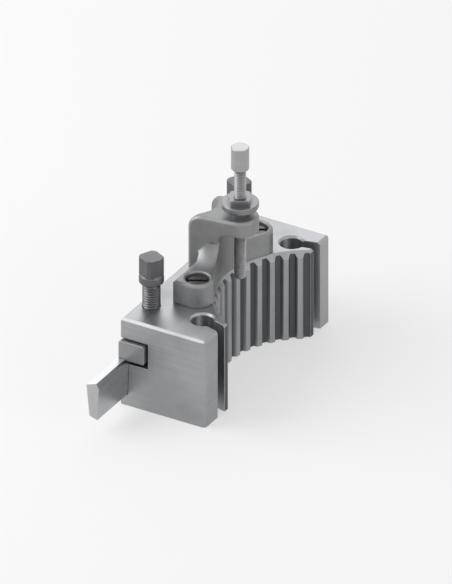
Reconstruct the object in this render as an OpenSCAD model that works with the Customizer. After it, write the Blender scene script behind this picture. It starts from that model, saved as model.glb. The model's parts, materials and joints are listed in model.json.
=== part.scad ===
// Parting tool holder for a quick-change tool post with a toothed head.
// A ground steel block carries the parting blade in a groove on one side and a toothed,
// hooked seat for the post on the other. A bolted casting on top holds the height stop.
// Origin: on the base, in the middle of the wall behind the teeth.
// X runs from the blade side to the toothed side, Y from the blade's tip to the rear, Z up.

/* [Holder body] */
// Length of the block, along the blade
body_length = 130; // [126:1:150]
// Front face to the mid-plane of the toothed arc
front_length = 66.7; // [64:0.1:72]
// Width of the block, from the blade side to the toothed side
body_width = 51.5; // [49:0.5:54]
// Height of the block
body_height = 52.5; // [50:0.5:62]
// Wall between the blade side and the tooth roots
back_wall = 26; // [24.5:0.25:28]
// Chamfer on the block's upper and toothed-side edges
body_chamfer = 1.4; // [0.6:0.1:2]

/* [Toothed arc] */
// Teeth on the full circle of the post's head
post_teeth = 40; // [36:1:44]
// Whole teeth on the holder, an odd number
arc_teeth = 13; // [9:2:13]
// Radius of the circle through the tooth tips
tip_r = 47.9; // [46:0.1:52]
// Depth of the teeth
tooth_depth = 2; // [1.4:0.1:2.2]
// Width of the gap between two teeth, at their tips
gap_width = 4.8; // [4:0.1:5.2]
// Slope of a tooth flank from the radial direction
flank_angle = 30; // [20:1:34]
// Chamfer on the arc's upper edge
arc_chamfer = 1.2; // [0.5:0.1:1.6]

/* [Hook slots] */
// Radius of the round pocket that the post's hook turns into
hook_r = 6.05; // [5.4:0.05:6.6]
// Depth of the pocket's axis behind the toothed face
hook_depth = 13.4; // [12:0.1:15]
// Width of the slot from the face to the pocket
hook_slot = 6.7; // [5.6:0.1:7.4]
// Slant of the slot, away from the arc
hook_slant = 15; // [10:1:20]
// Wall between the arc and the slot, at the face
hook_lip = 3; // [2.4:0.1:5]
// Chamfer on the pocket's upper edge
hook_chamfer = 1.1; // [0.4:0.1:1.6]

/* [Parting blade] */
// Length of the blade
blade_length = 140; // [120:1:160]
// Height of the blade's section
blade_height = 22.6; // [19:0.2:26]
// Thickness of the blade near its cutting edge
blade_thickness = 5.5; // [4:0.1:6.4]
// Side relief of each face, in degrees
blade_relief = 2.8; // [1:0.1:3.5]
// Width of the bevel on the upper inner edge
blade_bevel = 1.2; // [0.6:0.1:1.6]
// Height of that bevel
bevel_height = 3.2; // [1.5:0.1:4]
// Slope of the blade's lower edge, which wedges it into the block
seat_angle = 45; // [25:1:48]
// How far the blade stands out of the front face
blade_reach = 35.5; // [20:0.5:45]
// Slant of the cutting end, seen from above
end_slant = 34; // [5:1:40]
// Front relief under the cutting edge
end_relief = 2; // [1:0.5:8]

/* [Blade groove and clamp bar] */
// Height of the lowest corner of the blade above the base
blade_seat = 7; // [5:0.5:10]
// Width of the clamp bar
bar_width = 15.6; // [14:0.1:16]
// Height of the clamp bar above the blade's upper edge
bar_height = 10.2; // [8:0.1:12]
// Depth of the bar's lip behind the blade
bar_lip = 0.7; // [0.4:0.1:2]
// How far the bar stands out of the block at each end
bar_overhang = 2.5; // [0:0.1:5]
// Space behind the bar
bar_gap = 0.8; // [0.5:0.1:2]
// Space over the bar that lets it rise
lift_room = 0.75; // [0.7:0.05:1.5]
// Height of the bar's groove floor below the blade's upper edge
floor_drop = 4; // [3.4:0.1:5]

/* [Clamp screws] */
// Thread diameter of the clamp screws
clamp_d = 9.8; // [8:0.1:11]
// Distance of the clamp screws' line from the blade side
clamp_line = 7.5; // [7.2:0.1:8]
// Distance of each clamp screw from the nearer end of the block
clamp_inset = 19.2; // [14:0.2:22]
// Free shank between the block and the collar
clamp_shank = 14.6; // [8:0.2:18]
// Radius of the collar
collar_r = 6.7; // [6:0.1:7]
// Thickness of the collar at its rim
collar_t = 3.2; // [2:0.1:5]
// Width of the square across its flats
square_w = 10.8; // [9:0.1:11]
// Height of the square
square_h = 10.8; // [8:0.1:14]
// Turn of the squares about their axes, in degrees
square_turn = -26; // [-90:1:90]

/* [Stop bracket] */
// Height of the bracket above the block
bracket_height = 39.3; // [36:0.1:48]
// Thickness of the two feet
foot_t = 13.7; // [12:0.1:15]
// Radius of each foot's round end
foot_r = 8.9; // [8.8:0.05:9.4]
// Foot screws to the mid-plane of the arc
foot_spread = 30.6; // [30:0.1:33]
// Foot screws' axis behind the bracket's round inner face
foot_wall = 8.3; // [7.6:0.1:9.2]
// Setback of the bracket's round inner face from the tooth roots
bracket_setback = 0.6; // [0.2:0.1:1.5]
// Distance of the feet's outer side from the screws' axes
foot_out = 9.9; // [9:0.1:10.5]
// Distance of the column's outer side from the clamp screws' line
column_out = 2.2; // [1.6:0.1:3.6]
// Half-width of the column on its outer side
column_half = 14; // [13.2:0.1:14.8]
// Thickness of the cantilever arm
arm_t = 9; // [8:0.1:10]
// Radius of the boss round the stud
boss_r = 10; // [8.5:0.1:11]
// Rounding of the casting's outer upper edge
shoulder_r = 7.6; // [5:0.1:9]
// Fillet between the arm and the column
arm_fillet = 5; // [2:0.1:5.5]
// Fillet between the column's sides and the feet
foot_fillet = 10.8; // [7:0.1:11]
// Radius of the hollow that ends those fillets on their outer side
hollow_r = 24.5; // [20:0.5:28]
// Rounding of the column's inner upright edges, below the arm
corner_r = 6.2; // [5.4:0.1:6.6]
// Distance of that rounding's axes behind the bracket's round inner face
corner_wall = 5.5; // [4.6:0.1:5.6]
// Radius of the channel down the outer side, about the clamp screws' line
channel_r = 11.4; // [10:0.1:12]
// Chamfer on the casting's machined upper edges
cast_chamfer = 1.2; // [0.5:0.1:1.6]

/* [Foot screws and dowels] */
// Thread diameter of the foot screws
foot_screw_d = 6; // [5:0.1:6.6]
// Diameter of the cheese heads
head_d = 11; // [9.6:0.1:11.4]
// Height of the cheese heads
head_h = 4.4; // [3.4:0.1:5]
// Depth of the counterbores
counterbore = 6; // [5:0.1:7]
// Gap between a head and its counterbore
head_gap = 0.9; // [0.4:0.1:1]
// Width of the screwdriver slot
slot_w = 2.2; // [1.2:0.1:2.6]
// Depth of the screwdriver slot
slot_d = 2; // [1:0.1:2.4]
// Depth of the foot screws in the block
foot_thread = 13; // [9:0.5:16]
// Diameter of the locating dowels
dowel_d = 4; // [3:0.1:5]
// Depth of a dowel in the block, and as much in the foot
dowel_depth = 7; // [5:0.5:8]

/* [Height stop] */
// Diameter of the threaded stud
stud_d = 6.4; // [5:0.1:8]
// Distance of the stud's axis inside the circle of the tooth tips
stud_inset = 5.8; // [5.4:0.1:7]
// Height of the stud's tip above the block
tip_height = 0.5; // [0.4:0.1:6]
// Free stud between the lock nut and the cap
stud_free = 16.7; // [16:0.1:24]
// Radius of the lock nut's flange
flange_r = 10; // [8:0.1:11]
// Thickness of that flange
flange_t = 6; // [4:0.1:7]
// Radius of the nut's neck on the boss
neck_r = 5; // [4.6:0.1:6]
// Height of that neck
neck_h = 2.1; // [1:0.1:3]
// Width of the nut's square across its flats
nut_square = 10.9; // [9.5:0.1:12]
// Height of that square
nut_square_h = 3; // [2.6:0.1:5]
// Radius of the cap
cap_r = 4.85; // [4.6:0.05:6]
// Height of the cap
cap_h = 13.4; // [10:0.1:18]

/* [Hidden] */

$fn = 96;
fit = 0.05;          // running clearance, each side
snug = 0.01;         // clearance of a pressed piece, each side
over = 1;            // how far a cut runs past the face that it opens
screw_relief = 0.5;  // depth of the turned groove under a collar
hole_room = 2;       // space under a foot screw's end
dowel_room = 0.5;    // space under a dowel's end
view_turn = 30;      // turn of the slots and the nut's square, as drawn

// Places across the block
x_out = -back_wall / 2;
x_face = x_out + body_width;
root_r = tip_r + tooth_depth;
arc_x = x_out + back_wall + root_r;
y_front = -front_length;
y_rear = body_length - front_length;

// Hook pockets: the slot clears the arc's edge by the lip and slants away from it
arc_half = sqrt(root_r * root_r - (arc_x - x_face) * (arc_x - x_face));
hook_mouth_y = arc_half + hook_lip + hook_slot / 2 / cos(hook_slant);
hook_y = hook_mouth_y - hook_depth * tan(hook_slant);
hook_x = x_face - hook_depth;

// Blade, groove and bar
blade_proud = 0.2;
blade_x = x_out - blade_proud;
blade_top = blade_seat + blade_height;
blade_lean = tan(blade_relief);
bar_top = blade_top + bar_height;
groove_roof = bar_top + lift_room;
groove_floor = blade_top - floor_drop;
groove_x = x_out + bar_width + bar_gap;

// Clamp screws
clamp_x = x_out + clamp_line;
clamp_r = clamp_d / 2;
clamp_ys = [y_front + clamp_inset, y_rear - clamp_inset];
collar_z = body_height + clamp_shank;

// Bracket
bracket_x = clamp_x + column_out;
inner_r = root_r + bracket_setback;
foot_top = body_height + foot_t;
arm_top = body_height + bracket_height;
arm_under = arm_top - arm_t;
foot_x = arc_x - sqrt((inner_r + foot_wall) * (inner_r + foot_wall) - foot_spread * foot_spread);
foot_ys = [-foot_spread, foot_spread];
stud_x = arc_x - tip_r + stud_inset;
stud_r = stud_d / 2;
head_r = head_d / 2;
bore_r = head_r + head_gap;
seat_z = foot_top - counterbore;
side_x = bracket_x + cast_chamfer;
boss_reach = norm([stud_x - side_x, column_half]);
side_taper = atan2(column_half, stud_x - side_x) - asin(boss_r / boss_reach);
corner_x = arc_x - inner_r - corner_wall;
corner_y = side_y(corner_x) - corner_r / cos(side_taper);
fillet_top = foot_t + foot_fillet;
hollow_drop = 6.5;  // hollow's axis below the feet's upper face
hollow_x = foot_x - foot_out + 2 - sqrt(hollow_r * hollow_r - hollow_drop * hollow_drop);
dowel_wall = 3;  // between a dowel's hole and the counterbore
dowel_x = foot_x - dowel_wall;
dowel_y = foot_spread - bore_r - dowel_d / 2 - dowel_wall;

// Height stop
nut_z = arm_top + neck_h;
nut_top = nut_z + flange_t + nut_square_h;
tip_z = body_height + tip_height;
cap_z = nut_top + stud_free;
peg_r = stud_r - 0.6;  // upper end of the stud, inside the cap
peg_top = cap_z + cap_h / 2;

// A point of the blade's section: x from its outer upper corner, z above the base
function inner_face(z) = blade_x + blade_thickness - blade_lean * (blade_top - z);
function outer_face(z) = blade_x + blade_lean * (blade_top - z);

// Half-width of the tapering column and arm, at a place between the outer edge and the boss
function side_y(x) = column_half - (x - side_x) * tan(side_taper);

// Turn a profile drawn in X and Z so that it runs along Y, from y0 to y1
module along_y(y0, y1) {
    translate([0, y1, 0]) rotate([90, 0, 0]) linear_extrude(y1 - y0) children();
}

// Turn a profile drawn in Y and Z so that it runs along X, from x0 to x1
module along_x(x0, x1) {
    translate([x0, 0, 0]) rotate([90, 0, 90]) linear_extrude(x1 - x0) children();
}

module chamfered_disc(r, h, c) {
    rotate_extrude() polygon([[0, 0], [r, 0], [r, h - c], [r - c, h], [0, h]]);
}

// Block with its upper edges and the toothed side's upright edges chamfered
module block() {
    c = body_chamfer;
    intersection() {
        linear_extrude(body_height) polygon([
            [x_out, y_front], [x_face - c, y_front], [x_face, y_front + c],
            [x_face, y_rear - c], [x_face - c, y_rear], [x_out, y_rear]]);
        along_y(y_front, y_rear) polygon([
            [x_out, 0], [x_face, 0], [x_face, body_height - c],
            [x_face - c, body_height], [x_out + c, body_height], [x_out, body_height - c]]);
        along_x(x_out, x_face) polygon([
            [y_front, 0], [y_rear, 0], [y_rear, body_height - c],
            [y_rear - c, body_height], [y_front + c, body_height],
            [y_front, body_height - c]]);
    }
}

// One upright gap between two teeth, cut from inside the tip circle to the roots
module tooth_gap() {
    narrow = tooth_depth * tan(flank_angle);
    lead = 1.5;
    half_in = gap_width / 2 + lead * tan(flank_angle);
    half_out = gap_width / 2 - narrow;
    translate([0, 0, -over]) linear_extrude(body_height + 2 * over) polygon([
        [-(tip_r - lead), -half_in], [-root_r, -half_out],
        [-root_r, half_out], [-(tip_r - lead), half_in]]);
}

// Space that the post's head fills: the tip circle, the tooth gaps and the lead-in chamfer
module toothed_recess() {
    pitch = 360 / post_teeth;
    translate([arc_x, 0, 0]) {
        translate([0, 0, -over]) cylinder(r = tip_r, h = body_height + 2 * over, $fn = 180);
        for (i = [0 : arc_teeth])
            rotate([0, 0, (i - arc_teeth / 2) * pitch]) tooth_gap();
        translate([0, 0, body_height - tooth_depth - arc_chamfer])
            cylinder(r1 = tip_r, r2 = root_r + arc_chamfer + over,
                     h = tooth_depth + arc_chamfer + over, $fn = 180);
    }
}

// Keyhole through the whole height: the pocket, its chamfer and the slanted slot
module hook_pocket(side) {
    translate([hook_x, side * hook_y, 0]) {
        translate([0, 0, -over]) cylinder(r = hook_r, h = body_height + 2 * over);
        translate([0, 0, body_height - hook_chamfer])
            cylinder(r1 = hook_r, r2 = hook_r + hook_chamfer + over, h = hook_chamfer + over);
        rotate([0, 0, side * hook_slant])
            translate([0, -hook_slot / 2, -over])
                cube([hook_depth * 2, hook_slot, body_height + 2 * over]);
    }
}

// Groove for the blade and, above it, the wider groove for the clamp bar
module blade_groove() {
    relief = 0.8;
    low = blade_seat - relief;
    inner_low = inner_face(low) + fit;
    rise = (inner_low - x_out + over) * tan(seat_angle);
    along_y(y_front - over, y_rear + over) polygon([
        [x_out - over, groove_roof], [groove_x, groove_roof], [groove_x, groove_floor],
        [inner_face(groove_floor) + fit, groove_floor], [inner_low, low],
        [x_out - over, low + rise]]);
}

module holder_body() {
    color("dimgray") difference() {
        block();
        toothed_recess();
        for (side = [-1, 1]) hook_pocket(side);
        blade_groove();
        for (y = clamp_ys) translate([clamp_x, y, groove_roof - over])
            cylinder(r = clamp_r + fit, h = body_height);
        for (y = foot_ys) translate([foot_x, y, body_height - foot_thread - hole_room])
            cylinder(r = foot_screw_d / 2 + fit, h = foot_thread + hole_room + over);
        for (side = [-1, 1])
            translate([dowel_x, side * dowel_y, body_height - dowel_depth - dowel_room])
                cylinder(r = dowel_d / 2 + snug, h = dowel_depth + dowel_room + over);
    }
}

// Wedge-shaped blade: thick at the cutting edge, bevelled where the bar's lip bears on it
module parting_blade() {
    low = blade_seat;
    rise = (inner_face(low) - outer_face(low)) * tan(seat_angle) / (1 + blade_lean);
    tip_y = y_front - blade_reach;
    color("silver") difference() {
        along_y(tip_y, tip_y + blade_length) polygon([
            [blade_x, blade_top],
            [blade_x + blade_thickness - blade_bevel, blade_top],
            [inner_face(blade_top - bevel_height), blade_top - bevel_height],
            [inner_face(low), low],
            [outer_face(low + rise), low + rise]]);
        translate([blade_x, tip_y, blade_top]) rotate([end_relief, 0, end_slant])
            translate([-blade_thickness, -blade_length, -2 * blade_height])
                cube([4 * blade_thickness, blade_length, 3 * blade_height]);
    }
}

// Bar over the blade: flush with the block outside, with a lip behind the blade's bevel
module clamp_bar() {
    edge = 0.8;
    bevel_x = blade_x + blade_thickness - blade_bevel + fit;
    slope = (inner_face(blade_top - bevel_height) - (bevel_x - fit)) / bevel_height;
    x1 = x_out + bar_width;
    color("slategray") along_y(y_front - bar_overhang, y_rear + bar_overhang) polygon([
        [x_out, blade_top + fit], [bevel_x, blade_top + fit],
        [bevel_x + slope * (bar_lip + fit), blade_top - bar_lip],
        [x1 - edge, blade_top - bar_lip], [x1, blade_top - bar_lip + edge],
        [x1, bar_top - edge], [x1 - edge, bar_top],
        [x_out + edge, bar_top], [x_out, bar_top - edge]]);
}

// Square with its corners turned off to a circle, whose radius is a share of the width
module square_stub(w, h, share) {
    intersection() {
        translate([-w / 2, -w / 2, 0]) cube([w, w, h]);
        cylinder(r = w * share, h = h);
    }
}

// Collared square-head screw standing on the bar; the groove relieves the collar's seat
module clamp_screw(y) {
    tip = bar_top + fit;
    point = 1;
    edge = 0.4;
    neck_r = clamp_r - screw_relief;
    cone_z = collar_z + collar_t;
    cone_top = cone_z + 1.6;
    translate([clamp_x, y, 0]) {
        rotate_extrude() polygon([
            [0, tip], [clamp_r - point, tip], [clamp_r, tip + point],
            [clamp_r, collar_z - point - edge], [neck_r, collar_z - point],
            [neck_r, collar_z], [collar_r - edge, collar_z], [collar_r, collar_z + edge],
            [collar_r, cone_z], [square_w / 2 + edge, cone_top], [0, cone_top]]);
        translate([0, 0, cone_top - edge]) rotate([0, 0, square_turn])
            square_stub(square_w, square_h, 0.61);
    }
}

module front_clamp_screw() {
    color("gray") clamp_screw(clamp_ys[0]);
}

module rear_clamp_screw() {
    color("gray") clamp_screw(clamp_ys[1]);
}

// One foot: a round end about its screw, a straight outer side and chamfered upper edges;
// it reaches past the round inner face, which is cut later
module foot(side) {
    c = cast_chamfer;
    hull() {
        translate([foot_x, side * foot_spread, 0]) chamfered_disc(foot_r, foot_t, c);
        translate([foot_x - foot_out, 0, 0]) mirror([0, side > 0 ? 0 : 1, 0]) {
            cube([2 * c, foot_spread + foot_r, foot_t - c]);
            translate([c, 0, 0]) cube([c, foot_spread + foot_r - c, foot_t]);
            translate([c, 0, 0]) cube([foot_out + c, c, foot_t]);
        }
    }
}

// Tapering column with a rounded outer upper corner, set back above and outside, and beside
module shoulder(back, narrow) {
    r = shoulder_r - back;
    end_x = bracket_x + shoulder_r;
    intersection() {
        along_y(-column_half, column_half) hull() translate([bracket_x + back, 0]) {
            square([r, 1]);
            translate([r, bracket_height - shoulder_r]) circle(r = r);
        }
        linear_extrude(bracket_height) polygon([
            [bracket_x, narrow - column_half], [side_x, narrow - column_half],
            [end_x, narrow - side_y(end_x)], [end_x, side_y(end_x) - narrow],
            [side_x, column_half - narrow], [bracket_x, column_half - narrow]]);
    }
}

// Arm and column as one tapering form that ends in the round boss
module arm_form() {
    c = cast_chamfer;
    hull() {
        translate([stud_x, 0, 0]) chamfered_disc(boss_r, bracket_height, c);
        shoulder(0, c);
        shoulder(c, 0);
    }
}

// Quarter-round between one side of the column and the foot beside it
module side_fillet(side) {
    r = foot_fillet;
    corner_at = (corner_x - side_x + corner_r * sin(side_taper)) / cos(side_taper);
    mirror([0, side > 0 ? 1 : 0, 0]) translate([side_x, -column_half, foot_t])
        rotate([0, 0, side_taper]) difference() {
            translate([0, -r, -1]) cube([corner_at, r + 2, r + 1]);
            translate([-over, -r, r]) rotate([0, 90, 0]) cylinder(r = r, h = corner_at + 2 * over);
        }
}

// Space over the post: a round front wall under the arm, with a fillet at its top
module under_arm() {
    h = bracket_height - arm_t;
    translate([arc_x, 0, -over]) rotate_extrude($fn = 180) {
        difference() {
            square([inner_r, h + over]);
            translate([inner_r - arm_fillet, h + over - arm_fillet])
                square([arm_fillet + over, arm_fillet + over]);
        }
        translate([inner_r - arm_fillet, h + over - arm_fillet]) circle(r = arm_fillet, $fn = 48);
    }
}

// Upright rounding below the arm, as the waste between the arm's form and the round edge
module corner_waste() {
    for (side = [0, 1]) mirror([0, side, 0]) translate([corner_x, -corner_y, -over])
        rotate([0, 0, side_taper]) difference() {
            translate([0, -2 * corner_r, 0]) cube([2 * stud_x, 2 * corner_r, fillet_top + over]);
            translate([0, 0, -over]) cylinder(r = corner_r, h = fillet_top + 3 * over);
        }
}

// The same fillet swept round the column's rounded edge
module corner_fillet(side) {
    r = foot_fillet;
    translate([corner_x, side * corner_y, foot_t - 1]) rotate_extrude() difference() {
        square([corner_r + r, r + 1]);
        translate([corner_r + r, r + 1]) circle(r = r);
    }
}

// Fillets as they stay on the feet: a wide hollow ends them towards the feet's outer side
module foot_fillets() {
    difference() {
        union() for (side = [-1, 1]) {
            side_fillet(side);
            corner_fillet(side);
        }
        translate([hollow_x, 0, foot_t - hollow_drop]) rotate([90, 0, 0])
            cylinder(r = hollow_r, h = 4 * foot_spread, center = true);
    }
}

// Counterbore, screw hole and chamfer of one foot, clear up to the open
module foot_bore() {
    c = cast_chamfer / 2;
    play = 0.3;
    translate([0, 0, -over]) cylinder(r = foot_screw_d / 2 + play, h = foot_t);
    translate([0, 0, foot_t - counterbore]) cylinder(r = bore_r, h = counterbore + foot_fillet);
    translate([0, 0, foot_t - c]) cylinder(r1 = bore_r, r2 = bore_r + c, h = c);
    translate([0, 0, foot_t]) cylinder(r = bore_r + c, h = foot_fillet);
}

// One casting: two feet, a channelled column and the arm with its boss
module stop_bracket() {
    color("steelblue") translate([0, 0, body_height]) difference() {
        union() {
            for (side = [-1, 1]) foot(side);
            foot_fillets();
            difference() {
                arm_form();
                corner_waste();
            }
        }
        under_arm();
        translate([clamp_x, 0, -over]) cylinder(r = channel_r, h = bracket_height + 2 * over);
        for (y = foot_ys) translate([foot_x, y, 0]) foot_bore();
        for (side = [-1, 1]) translate([dowel_x, side * dowel_y, -over])
            cylinder(r = dowel_d / 2 + snug, h = dowel_depth + over);
        translate([stud_x, 0, 0]) cylinder(r = stud_r + fit, h = bracket_height + over);
    }
}

// Slotted cheese-head screw in a foot's counterbore
module foot_screw(y) {
    edge = 0.7;
    shank_r = foot_screw_d / 2;
    tip = body_height - foot_thread;
    head_top = seat_z + head_h;
    translate([foot_x, y, 0]) difference() {
        rotate_extrude() polygon([
            [0, tip], [shank_r - edge, tip], [shank_r, tip + edge], [shank_r, seat_z],
            [head_r, seat_z], [head_r, head_top - edge], [head_r - edge, head_top],
            [0, head_top]]);
        rotate([0, 0, view_turn]) translate([-head_d, -slot_w / 2, head_top - slot_d])
            cube([2 * head_d, slot_w, slot_d + over]);
    }
}

module front_foot_screw() {
    color("dimgray") foot_screw(foot_ys[0]);
}

module rear_foot_screw() {
    color("dimgray") foot_screw(foot_ys[1]);
}

// Dowel that locates a foot on the block
module dowel(side) {
    edge = 0.4;
    r = dowel_d / 2;
    length = 2 * dowel_depth - dowel_room;
    translate([dowel_x, side * dowel_y, body_height - dowel_depth]) rotate_extrude() polygon([
        [0, 0], [r - edge, 0], [r, edge], [r, length - edge], [r - edge, length], [0, length]]);
}

module front_dowel() {
    color("lightgray") dowel(-1);
}

module rear_dowel() {
    color("lightgray") dowel(1);
}

// Stud whose rounded tip stands on the post's head; its upper end enters the cap
module height_stud() {
    flat_r = stud_r - 1.6;
    crown = 0.2;
    point = 1.1;
    edge = 0.4;
    color("darkgray") translate([stud_x, 0, 0]) rotate_extrude() polygon([
        [0, tip_z], [flat_r, tip_z], [stud_r - point, tip_z + crown],
        [stud_r, tip_z + point + crown], [stud_r, cap_z - over], [peg_r, cap_z - over + edge],
        [peg_r, peg_top], [0, peg_top]]);
}

// Plain cylindrical cap, pushed on the stud's upper end
module stud_cap() {
    edge = 0.7;
    top_edge = 0.3;
    cap_top = cap_z + cap_h;
    pocket_r = peg_r + snug;
    color("gray") translate([stud_x, 0, 0]) rotate_extrude() polygon([
        [pocket_r, cap_z], [cap_r - edge, cap_z], [cap_r, cap_z + edge],
        [cap_r, cap_top - top_edge], [cap_r - top_edge, cap_top], [0, cap_top],
        [0, peg_top + fit], [pocket_r, peg_top + fit]]);
}

// Flanged lock nut: a neck on the boss, a dished round flange and a square for the spanner
module lock_nut() {
    edge = 0.3;
    rim_step = 1.6;
    step_z = nut_z + flange_t * 0.22;
    rim_z = nut_z + flange_t * 0.55;
    rim_top = nut_z + flange_t;
    color("gray") translate([stud_x, 0, 0]) difference() {
        union() {
            rotate_extrude() polygon([
                [0, arm_top], [neck_r, arm_top], [neck_r, nut_z],
                [flange_r - rim_step, step_z], [flange_r, rim_z],
                [flange_r, rim_top - edge], [flange_r - edge, rim_top], [0, rim_top]]);
            translate([0, 0, rim_top - edge]) rotate([0, 0, view_turn])
                square_stub(nut_square, nut_square_h + edge, 0.66);
        }
        translate([0, 0, arm_top - over])
            cylinder(r = stud_r + fit, h = nut_top - arm_top + 2 * over);
    }
}

holder_body();
parting_blade();
clamp_bar();
front_clamp_screw();
rear_clamp_screw();
stop_bracket();
front_foot_screw();
rear_foot_screw();
front_dowel();
rear_dowel();
height_stud();
stud_cap();
lock_nut();
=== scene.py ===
"""Looks of the parting tool holder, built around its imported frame.

The block, the dowels, the blade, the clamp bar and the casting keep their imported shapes, and get
broken edges and ground, turned or cast surfaces. The screws, the stud, the cap and the nut are
modelled again with their threads, slots and spanner squares. Every length is in metres, in the
frame's own axes.
"""

from __future__ import annotations

import json
import logging
import math
from collections.abc import Iterable
from dataclasses import dataclass, field
from enum import Enum

import bpy
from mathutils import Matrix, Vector

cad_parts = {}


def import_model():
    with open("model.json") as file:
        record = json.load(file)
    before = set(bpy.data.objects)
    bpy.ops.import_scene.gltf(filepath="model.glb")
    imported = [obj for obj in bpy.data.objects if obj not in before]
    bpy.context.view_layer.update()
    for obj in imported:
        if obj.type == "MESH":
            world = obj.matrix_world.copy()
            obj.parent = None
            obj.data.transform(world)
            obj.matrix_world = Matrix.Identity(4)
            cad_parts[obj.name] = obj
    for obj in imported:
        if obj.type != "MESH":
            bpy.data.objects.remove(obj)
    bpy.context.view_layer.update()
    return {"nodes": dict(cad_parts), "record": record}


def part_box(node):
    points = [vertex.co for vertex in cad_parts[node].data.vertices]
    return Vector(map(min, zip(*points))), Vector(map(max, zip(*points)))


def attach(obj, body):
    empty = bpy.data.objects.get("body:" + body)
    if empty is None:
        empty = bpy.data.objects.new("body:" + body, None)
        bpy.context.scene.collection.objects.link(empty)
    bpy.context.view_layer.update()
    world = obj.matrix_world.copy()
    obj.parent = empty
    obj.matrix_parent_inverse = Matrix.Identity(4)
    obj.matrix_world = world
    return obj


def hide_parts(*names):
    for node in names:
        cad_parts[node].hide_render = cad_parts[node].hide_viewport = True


LOG = logging.getLogger("tool_holder")

MM = 0.001

# Radius of the circle on which the tips of the seat's teeth lie.
TOOTH_TIP_R = 47.9 * MM

# Sides of a turned piece, steps in one turn of a thread and segments of a broken edge.
ROUND_SIDES = 96
THREAD_STEPS = 48
EDGE_SEGMENTS = 2

# Share of the way to its neighbours' middle that one pass of evening moves a point.
EVENING = 0.5

# Depth of a thread, as a share of its pitch.
THREAD_DEPTH = 0.55
# Profile of a thread: rises as shares of the pitch, and ways inwards as shares of the depth.
THREAD_PROFILE = ((0.0, 1.0), (0.42, 0.0), (0.56, 0.0), (0.94, 1.0), (1.0, 1.0))
# Turns of a thread beyond its length, half of them below it, which are cut off again.
SPARE_TURNS = 3

# Height of the bevel on a square's turned corners, as a share of their radius, and its slope.
CORNER_LEAD = 0.05
CORNER_SLOPE = 1.7

# A hair's breadth, which keeps the rings of a turned piece, and the faces of two solids that
# are combined, out of one plane.
HAIR = 0.01 * MM
# How far a solid that cuts or limits another reaches past it.
OVERSHOOT = 1.0 * MM

# Points closer than this are one point.
MERGE_DISTANCE = 1e-6
# Faces that meet at less than the first angle are one face, and at more than the second an edge.
FLAT_ANGLE = math.radians(0.3)
SHARP_ANGLE = math.radians(34.0)

# Inputs of a Mix node that take its share and two numbers, or its share and two colours.
MIX_NUMBERS = (0, 2, 3)
MIX_COLOURS = (0, 6, 7)
# Output of a Mix node that gives its colour.
MIX_COLOUR_RESULT = 2
# Distance from one node to the next on a sheet.
NODE_SPACING = 180

Colour = tuple[float, float, float]

WHITE: Colour = (1.0, 1.0, 1.0)


class Grain(Enum):
    """How a surface was worked, which sets the lines that it shows."""

    GROUND = "ground"
    TURNED = "turned"
    CAST = "cast"


class Fuse(Enum):
    """How one solid acts on another when the two are combined."""

    ADD = "UNION"
    CUT = "DIFFERENCE"
    KEEP_COMMON = "INTERSECT"


@dataclass(frozen=True)
class SteelFinish:
    """One metal: its colour, its gloss and the marks of how it was worked.

    Attributes:
        name: Name of the material.
        slot: Material slot of the record that the finish belongs to; not used.
        grain: The kind of tool marks.
        colour: Clean colour of the metal.
        worn: Colour of the rubbed edges.
        metallic: Share of bare metal against the scattering of its skin.
        roughness: Roughness of the clean metal.
        mark_depth: Depth of the tool marks.
        tone: Share by which the marks change the colour.
        shade_and_stain_strength: Strength of the painted shade in the hollows and of the stained
            patches.
        wear: Strength of the rubbed edges.
    """

    name: str
    slot: str
    grain: Grain
    colour: Colour
    worn: Colour
    metallic: float
    roughness: float
    mark_depth: float
    tone: float
    shade_and_stain_strength: float
    wear: float


GROUND_BLOCK = SteelFinish(
    name="ground_block_steel", slot="block", grain=Grain.GROUND,
    colour=(0.33, 0.335, 0.345), worn=(0.66, 0.66, 0.67), metallic=0.9, roughness=0.4,
    mark_depth=0.014 * MM, tone=0.22, shade_and_stain_strength=0.6, wear=0.75)
GROUND_BLADE = SteelFinish(
    name="fine_ground_blade_steel", slot="blade", grain=Grain.GROUND,
    colour=(0.45, 0.455, 0.47), worn=(0.76, 0.76, 0.77), metallic=0.95, roughness=0.3,
    mark_depth=0.008 * MM, tone=0.18, shade_and_stain_strength=0.3, wear=0.6)
GROUND_BAR = SteelFinish(
    name="ground_bar_steel", slot="bar", grain=Grain.GROUND,
    colour=(0.27, 0.274, 0.282), worn=(0.6, 0.6, 0.61), metallic=0.9, roughness=0.38,
    mark_depth=0.012 * MM, tone=0.2, shade_and_stain_strength=0.5, wear=0.75)
CAST_BRACKET = SteelFinish(
    name="cast_bracket_iron", slot="casting", grain=Grain.CAST,
    colour=(0.25, 0.252, 0.256), worn=(0.56, 0.56, 0.565), metallic=0.8, roughness=0.48,
    mark_depth=0.06 * MM, tone=0.2, shade_and_stain_strength=0.6, wear=0.7)
DARK_SCREWS = SteelFinish(
    name="blackened_screw_steel", slot="screws", grain=Grain.TURNED,
    colour=(0.1, 0.101, 0.105), worn=(0.46, 0.46, 0.47), metallic=0.85, roughness=0.36,
    mark_depth=0.012 * MM, tone=0.14, shade_and_stain_strength=0.5, wear=0.9)
DARK_FOOT_SCREWS = SteelFinish(
    name="blackened_foot_screw_steel", slot="small_screws", grain=Grain.TURNED,
    colour=(0.085, 0.086, 0.09), worn=(0.42, 0.42, 0.43), metallic=0.85, roughness=0.38,
    mark_depth=0.012 * MM, tone=0.14, shade_and_stain_strength=0.5, wear=0.85)
BRIGHT_STUD = SteelFinish(
    name="bright_stud_steel", slot="stud", grain=Grain.TURNED,
    colour=(0.36, 0.362, 0.37), worn=(0.68, 0.68, 0.69), metallic=0.95, roughness=0.34,
    mark_depth=0.004 * MM, tone=0.14, shade_and_stain_strength=0.7, wear=0.7)
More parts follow.
